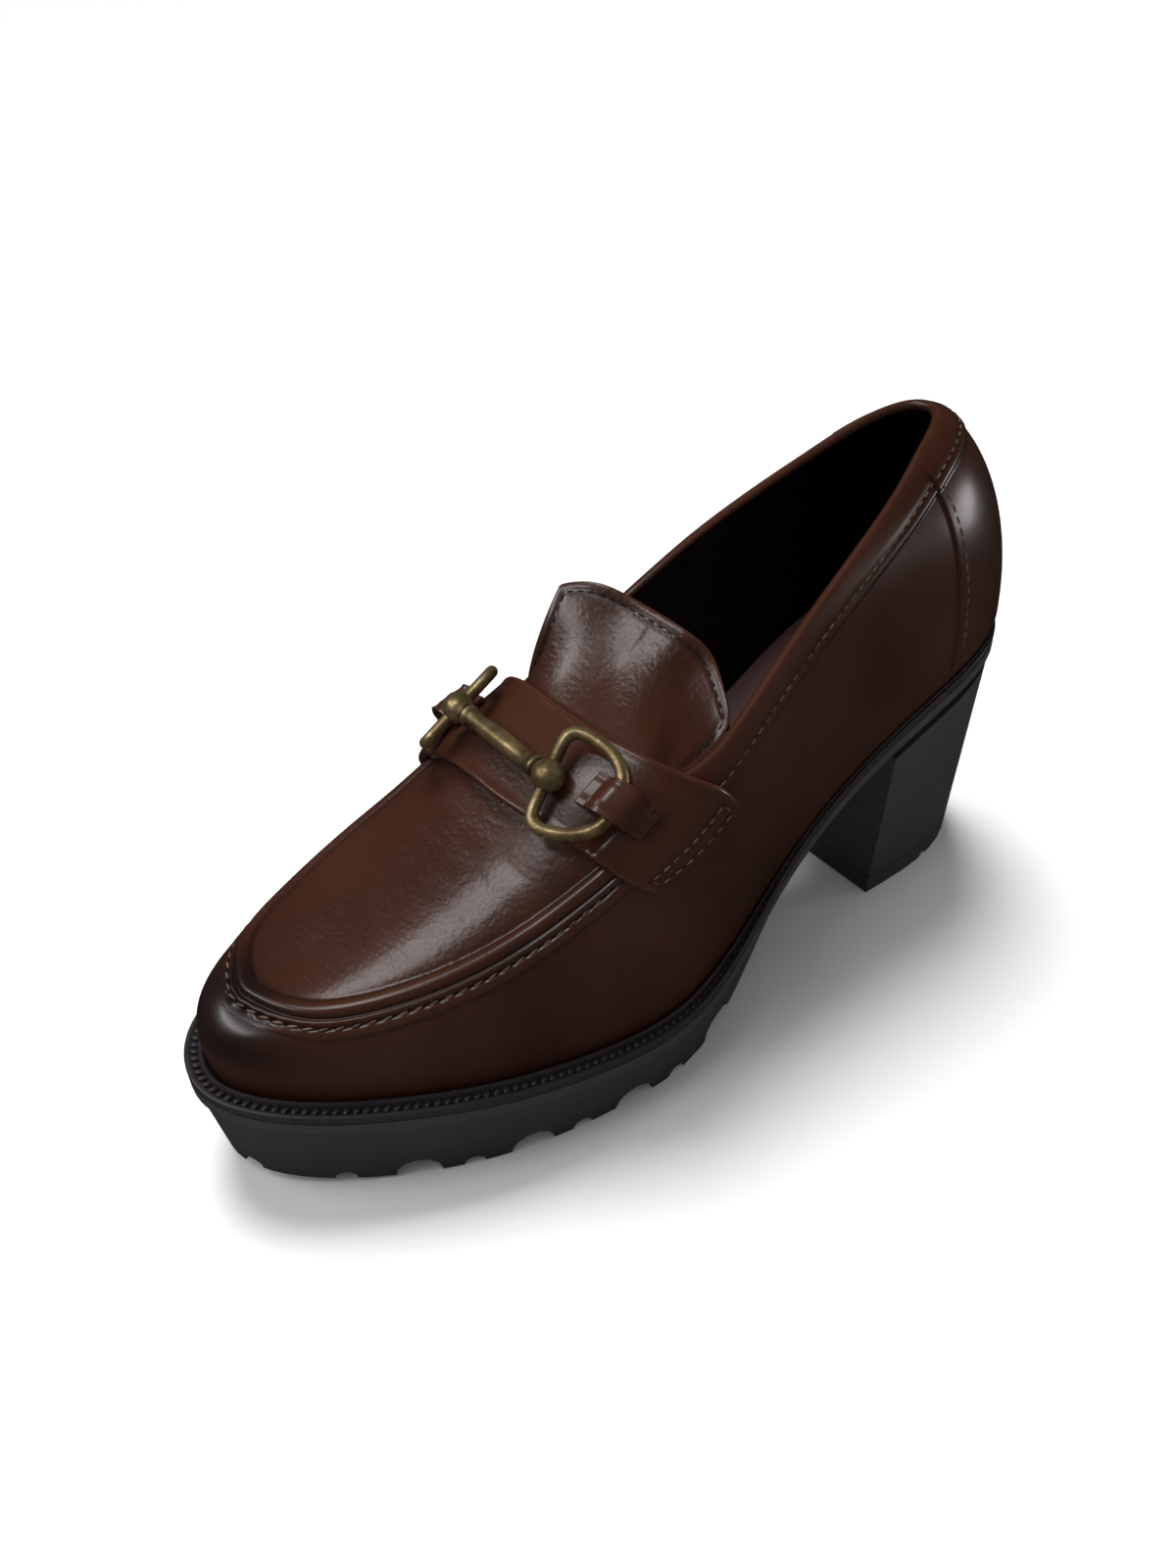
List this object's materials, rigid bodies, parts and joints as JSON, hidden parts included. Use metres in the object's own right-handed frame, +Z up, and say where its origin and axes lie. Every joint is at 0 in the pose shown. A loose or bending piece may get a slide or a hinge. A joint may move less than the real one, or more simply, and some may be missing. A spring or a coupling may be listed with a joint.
{
  "type": "loafer pump",
  "caption": "Women's left loafer pump: leather upper with apron seam, saddle strap with snaffle bit, flared tongue, lugged platform sole and block heel.",
  "frame": {"origin": "on the floor, in the middle of the shoe's length and width", "axes": "+X from the heel to the toe, +Y to the shoe's left and outer side, +Z up"},
  "size_m": [0.24, 0.0881, 0.1317],
  "materials": {
    "brown_leather": "smooth glossy chocolate-brown leather, darker at the toe",
    "sole_rubber": "matt brown-black rubber",
    "lining": "dull dark lining leather",
    "aged_brass": "aged cast brass"
  },
  "bodies": {
    "root": {"outsole": "sole_rubber", "welt": "sole_rubber", "insole": "lining", "heel_block": "sole_rubber", "heel_top_piece": "sole_rubber", "upper": "brown_leather", "saddle_strap": "brown_leather", "tongue": "brown_leather", "bit_bar": "aged_brass", "bit_ring_left": "aged_brass", "keeper_left": "brown_leather", "bit_ring_right": "aged_brass", "keeper_right": "brown_leather"}
  },
  "joints": []
}
